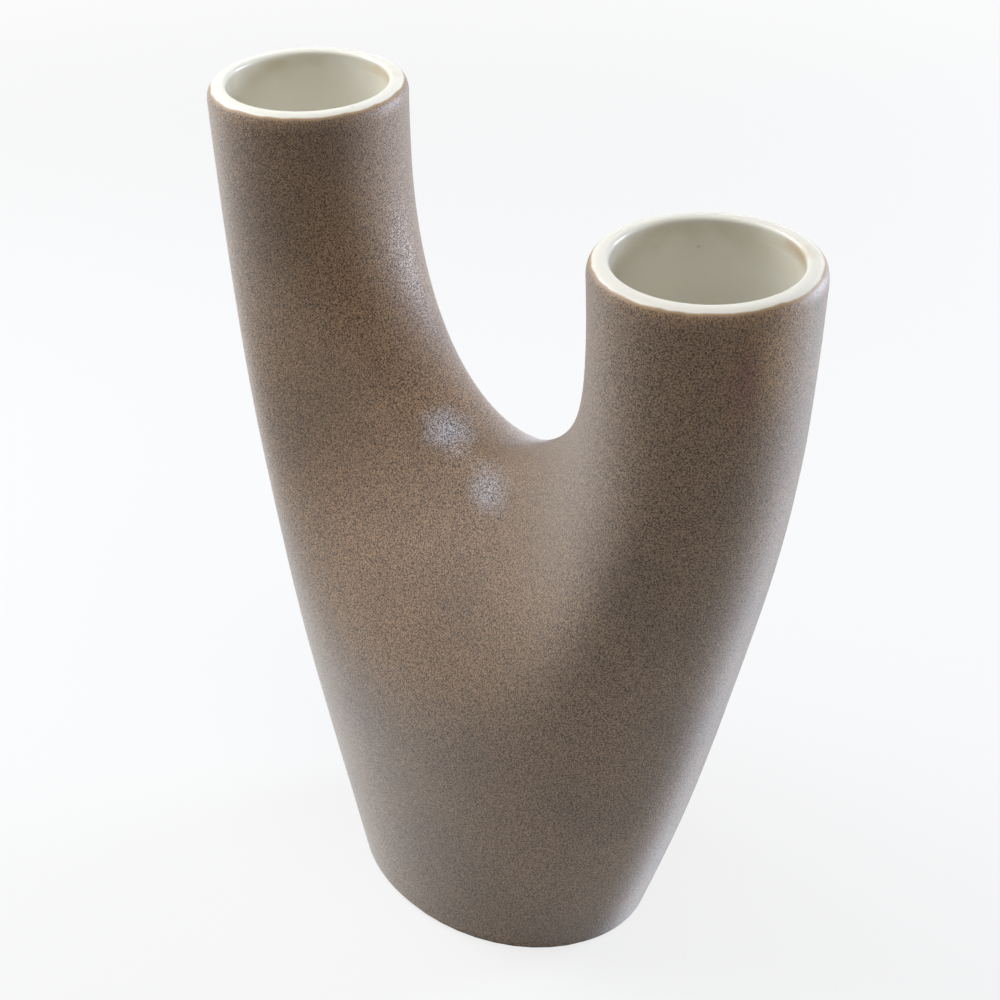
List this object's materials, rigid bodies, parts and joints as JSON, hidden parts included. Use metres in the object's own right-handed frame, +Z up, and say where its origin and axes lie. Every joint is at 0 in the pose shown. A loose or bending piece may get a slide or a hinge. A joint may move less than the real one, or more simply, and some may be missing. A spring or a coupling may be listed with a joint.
{
  "type": "two-necked vase",
  "caption": "Forked stoneware vase: an oval foot, a tapering hollow body and round open necks, matt brown glaze outside and white glaze inside, for stems in water.",
  "frame": {"origin": "centre of the oval foot, on the surface that the vase stands on", "axes": "+Z up, +X from the left neck to the right neck, +Y from the front to the back"},
  "size_m": [0.188, 0.0802, 0.205],
  "materials": {
    "base": "bare fired stoneware",
    "body_wall": "bare fired stoneware",
    "left_neck": "bare fired stoneware",
    "right_neck": "bare fired stoneware",
    "outer_glaze": "matt brown glaze with fine speckles and a soft sheen",
    "liner_glaze": "glossy white glaze",
    "left_rim": "glossy white glaze that breaks to tan at its outer edge",
    "right_rim": "glossy white glaze that breaks to tan at its outer edge"
  },
  "bodies": {
    "root": {"base": "base", "body_wall": "body_wall", "left_neck": "left_neck", "right_neck": "right_neck", "outer_glaze": "outer_glaze", "liner_glaze": "liner_glaze", "left_rim": "left_rim", "right_rim": "right_rim"}
  },
  "joints": []
}
